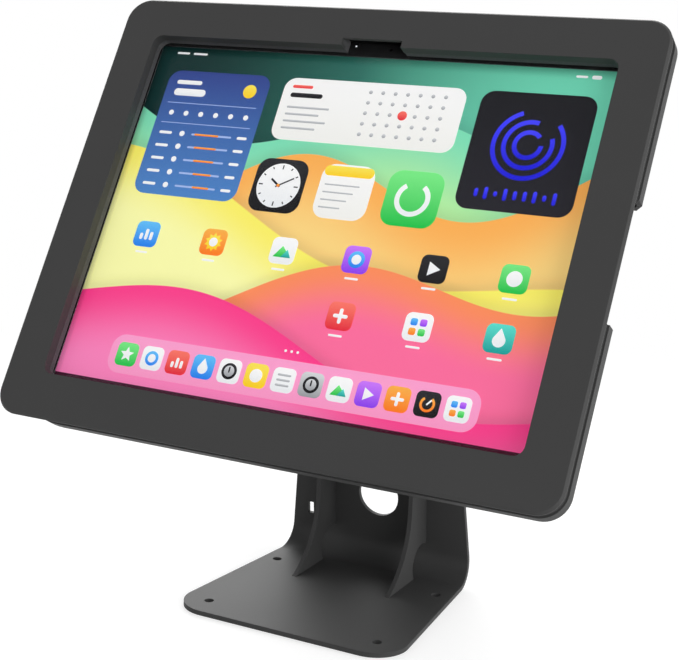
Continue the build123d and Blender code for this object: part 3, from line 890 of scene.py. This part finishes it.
def lathe(shape, profile, steps, place, hollow=False, sixSided=()):
    # turns (radius, height) points about z; a hollow one closes on itself, any other by a face at each end
    rings = []
    for index, (radius, height) in enumerate(profile):
        ring = []
        for i in range(steps):
            angle = 2 * pi * i / steps
            reach = radius
            if index in sixSided:
                reach *= cos(pi / 6) / cos((angle + pi / 6) % (pi / 3) - pi / 6)
            ring.append(shape.verts.new(place @ Vector((reach * cos(angle), reach * sin(angle), height))))
        rings.append(ring)
    faces = [] if hollow else [shape.faces.new(rings[0]), shape.faces.new(rings[-1])]
    for first, second in zip(rings, rings[1:] + rings[:1] if hollow else rings[1:]):
        faces += [shape.faces.new((first[i - 1], first[i], second[i], second[i - 1])) for i in range(steps)]
    bmesh.ops.recalc_face_normals(shape, faces=faces)
    return faces


# Camera and sensor behind the glass, in the frame's camera notch
sensorLook = {
    "lensMm": (-13.8, 104.1),
    "lensRadiusMm": 1.6,
    "innerShare": 0.72,  # of the lens inside its ring
    "paintedGlintRadiusMm": 0.5,
    "sensorMm": (6.6, 103.0),
    "sensorRadiusMm": 0.8,
    "layerMm": 0.03,
    "steps": 24,
    "speckPerMetre": 2500,
    "speckSheen": 0.05,
}


def plainFinish(name, code, roughness, glow=0.0):
    finish = Finish(name)
    color = fromHex(code)
    speck = finish.noise(finish.place(), sensorLook["speckPerMetre"], 2)
    return finish.surface(
        {
            "Base Color": color,
            "Roughness": roughness + speck * sensorLook["speckSheen"],
            "Emission Color": color,
            "Emission Strength": glow,
        }
    )


def makeSensors():
    behind = span("tablet_glass")[0].z
    finishes = [
        plainFinish("lensRing", "17181a", 0.25),
        plainFinish("lensBlack", "020203", 0.1),
        # a painted glint: a small white disc in the lens's middle that glows by itself
        plainFinish("lensGlint", "e8ecf0", 0.2, 0.9),
    ]
    lens, sensor, lensRadius = (sensorLook[key] for key in ("lensMm", "sensorMm", "lensRadiusMm"))
    discs = [  # middle, radius, layers high, and which finish
        (lens, lensRadius, 1, 0),
        (lens, lensRadius * sensorLook["innerShare"], 2, 1),
        (lens, sensorLook["paintedGlintRadiusMm"], 3, 2),
        (sensor, sensorLook["sensorRadiusMm"], 1, 1),
    ]
    shape = bmesh.new()
    for (x, y), radius, layers, index in discs:
        place = Matrix.Translation((x * mm, y * mm, behind))
        profile = [(radius * mm, 0), (radius * mm, layers * sensorLook["layerMm"] * mm)]
        for face in lathe(shape, profile, sensorLook["steps"], place):
            face.material_index = index
    mesh = toMesh(shape, "cameraLens")
    mesh.transform(screenPlace)
    meshObject("cameraLens", mesh, finishes, "enclosure")


makeSensors()
print("camera lens ready")

# Button head screws with hexagon sockets, set out by Geometry Nodes in place of the plain CAD ones
screwLook = {
    "socketShare": 0.42,  # socket's corners against the head's radius
    "socketDepth": 0.6,  # against the head's height
    "dome": ((1.0, 0.0), (1.0, 0.3), (0.95, 0.62), (0.84, 0.86), (0.68, 1.0)),
    "steps": 48,
    "leastRadiusMm": 0.5,  # points nearer the axis are not the shank's
}


def screwMesh(name, head, shank, headHeight, shankLength):
    # shank along +z from the head's seat, head and socket below it
    profile = [(shank, shankLength), (shank, 0)]
    profile += [(head * radius, -headHeight * height) for radius, height in screwLook["dome"]]
    socket = head * screwLook["socketShare"]
    profile += [(socket, -headHeight), (socket, -headHeight * (1 - screwLook["socketDepth"]))]
    shape = bmesh.new()
    lathe(shape, profile, screwLook["steps"], Matrix(), sixSided=(len(profile) - 2, len(profile) - 1))
    return toMesh(shape, name)


def solids(node):
    # the separate solids of a CAD node, each as its points in the screen's axes
    shape = bmesh.new()
    shape.from_mesh(nodes[node].data)
    bmesh.ops.remove_doubles(shape, verts=shape.verts, dist=1e-6)
    seen = set()
    groups = []
    for start in shape.verts:
        if start in seen:
            continue
        seen.add(start)
        waiting, group = [start], []
        while waiting:
            vertex = waiting.pop()
            group.append(toScreen @ vertex.co)
            near = {edge.other_vert(vertex) for edge in vertex.link_edges} - seen
            seen |= near
            waiting += near
        groups.append(group)
    shape.free()
    return groups


def instanceTree(name):
    # one source object on every point, made real and given its finish
    tree = bpy.data.node_groups.new(name, "GeometryNodeTree")
    for title, kind in (("Points", "Geometry"), ("Source", "Object"), ("Finish", "Material")):
        tree.interface.new_socket(title, in_out="INPUT", socket_type="NodeSocket" + kind)
    tree.interface.new_socket("Pieces", in_out="OUTPUT", socket_type="NodeSocketGeometry")
    kinds = (
        "NodeGroupInput",
        "GeometryNodeObjectInfo",
        "GeometryNodeInstanceOnPoints",
        "GeometryNodeRealizeInstances",
        "GeometryNodeSetMaterial",
        "NodeGroupOutput",
    )
    given, source, spread, real, paint, result = (tree.nodes.new(kind) for kind in kinds)
    for start, end in (
        (given.outputs["Source"], source.inputs["Object"]),
        (given.outputs["Points"], spread.inputs["Points"]),
        (source.outputs["Geometry"], spread.inputs["Instance"]),
        (spread.outputs["Instances"], real.inputs["Geometry"]),
        (real.outputs["Geometry"], paint.inputs["Geometry"]),
        (given.outputs["Finish"], paint.inputs["Material"]),
        (paint.outputs["Geometry"], result.inputs["Pieces"]),
    ):
        tree.links.new(start, end)
    return tree


def setOut(name, points, source, finish):
    # the source on every point, as a plain mesh
    carrier = meshObject(name + "Points", bpy.data.meshes.new(name + "Points"), [])
    carrier.data.from_pydata(points, [], [])
    modifier = carrier.modifiers.new("setOut", "NODES")
    modifier.node_group = instanceTree(name + "Tree")
    values = {"Source": source, "Finish": finish}
    for socket in modifier.node_group.interface.items_tree:
        if socket.name in values:
            modifier[socket.identifier] = values[socket.name]
    graph = bpy.context.evaluated_depsgraph_get()
    mesh = bpy.data.meshes.new_from_object(carrier.evaluated_get(graph), depsgraph=graph)
    mesh.name = name
    for spent in (carrier, source):
        bpy.data.objects.remove(spent)
    return mesh


def makeScrews(node):
    seats = []
    for group in solids(node):
        low, high = corners(group)
        middle = (low + high) / 2
        reaches = {round((point.xy - middle.xy).length, 5) for point in group}
        seat = sorted({round(point.z, 6) for point in group})[1]
        seats.append((middle.x, middle.y, seat))
    shank = min(reach for reach in reaches if reach > screwLook["leastRadiusMm"] * mm)
    screw = screwMesh(node + "Source", max(reaches), shank, seat - low.z, high.z - seat)
    source = meshObject(node + "Source", screw, [])
    mesh = setOut(node + "Dressed", seats, source, blackOxide)
    mesh.transform(screenPlace)
    meshObject(mesh.name, mesh, [], "enclosure", [node])


for node in ("mounting_screws", "lock_screws"):
    makeScrews(node)
print("screws ready")

# Nylon collar of the lock nut, round the end of the tilt bolt
collarLook = {
    "innerMm": 4.03,
    "outerMm": 5.7,
    "heightMm": 0.9,
    "edgeMm": 0.3,
    "steps": 48,
    "colors": ("6f8296", "8196aa"),
}


def makeCollar():
    low, high = corners([vertex.co for vertex in nodes["tilt_nut"].data.vertices])
    inner, outer, height, edge = (
        collarLook[key] * mm for key in ("innerMm", "outerMm", "heightMm", "edgeMm")
    )
    profile = [(inner, 0), (outer, 0), (outer, height - edge), (outer - edge, height), (inner, height)]
    middle = (low + high) / 2
    place = Matrix.Translation((high.x, middle.y, middle.z)) @ Matrix.Rotation(pi / 2, 4, "Y")
    shape = bmesh.new()
    lathe(shape, profile, collarLook["steps"], place, hollow=True)
    nylon = makeNylon("collarNylon", *collarLook["colors"])
    meshObject("nutCollar", toMesh(shape, "nutCollar"), [nylon], "stand")


makeCollar()
print("nut collar ready")

# Floor, light and surroundings
studioLook = {
    "floorRadiusM": 6.0,
    "floorSides": 64,
    "floorDropM": 0.0002,
    "floorWhite": 0.52,
    "floorLift": 0.60,
    "fadeFromM": 0.28,
    "fadeToM": 0.70,
    "ambient": 0.58,
    "lamps": {
        "side": {"watts": 16.0, "sizeM": 1.5, "place": (2.0, 0.5, 0.6)},
        "back": {"watts": 90.0, "sizeM": 2.8, "place": (-1.4, 2.3, 1.2)},
        "front": {"watts": 34.0, "sizeM": 1.6, "place": (1.9, -1.2, 0.35)},
    },
    "aim": (0, 0, 0.15),
}


def seenDirectly(finish):
    # 1 for the camera and for what mirrors or glass show
    rays = ("Is Camera Ray", "Is Glossy Ray", "Is Transmission Ray")
    camera, glossy, through = (finish.add("ShaderNodeLightPath", out=ray) for ray in rays)
    return finish.add("ShaderNodeClamp", None, {"Value": camera + glossy + through})


def makeFloor():
    # lit paper near the object, where it keeps the shadow, and plain white further out
    floor = Finish("floorPaper")
    seen = seenDirectly(floor)
    diffuse = floor.add("ShaderNodeBsdfDiffuse", None, {"Color": gray(studioLook["floorWhite"])})
    glow = seen * studioLook["floorLift"]
    lift = floor.add("ShaderNodeEmission", None, {"Color": gray(1.0), "Strength": glow})
    near = floor.add("ShaderNodeAddShader", None, {0: diffuse, 1: lift})
    far = floor.add("ShaderNodeEmission", None, {"Color": gray(1.0), "Strength": 1.0})
    distance = floor.add("ShaderNodeVectorMath", {"operation": "LENGTH"}, {0: floor.place()}, "Value")
    fade = floor.step(distance, studioLook["fadeFromM"], studioLook["fadeToM"]) * seen
    paper = floor.add("ShaderNodeMixShader", None, {0: fade, 1: near, 2: far})
    # clear from below, so that the underside can be looked at
    below = floor.add("ShaderNodeNewGeometry", out="Backfacing")
    clear = floor.add("ShaderNodeBsdfTransparent")
    floor.finish(floor.add("ShaderNodeMixShader", None, {0: below, 1: paper, 2: clear}))
    shape = bmesh.new()
    place = Matrix.Translation((0, 0, -studioLook["floorDropM"]))
    sides, radius = studioLook["floorSides"], studioLook["floorRadiusM"]
    bmesh.ops.create_circle(shape, cap_ends=True, segments=sides, radius=radius, matrix=place)
    meshObject("floor", toMesh(shape, "floor"), [floor.owner])


def makeRoom():
    # white for the camera, and ambient light for the object
    world = bpy.data.worlds.new("studio")
    bpy.context.scene.world = world
    room = Finish("studio", world)
    strength = studioLook["ambient"] + seenDirectly(room) * (1 - studioLook["ambient"])
    background = room.add("ShaderNodeBackground", None, {"Color": gray(1.0), "Strength": strength})
    room.finish(background, "ShaderNodeOutputWorld")


def makeLamps():
    for name, look in studioLook["lamps"].items():
        data = bpy.data.lights.new(name, "AREA")
        data.energy = look["watts"]
        data.size = look["sizeM"]
        lamp = bpy.data.objects.new(name, data)
        bpy.context.scene.collection.objects.link(lamp)
        lamp.location = look["place"]
        towards = Vector(studioLook["aim"]) - lamp.location
        lamp.rotation_euler = towards.to_track_quat("-Z", "Y").to_euler()


makeFloor()
makeRoom()
makeLamps()
bpy.context.scene.view_settings.view_transform = "Standard"
print("studio ready")
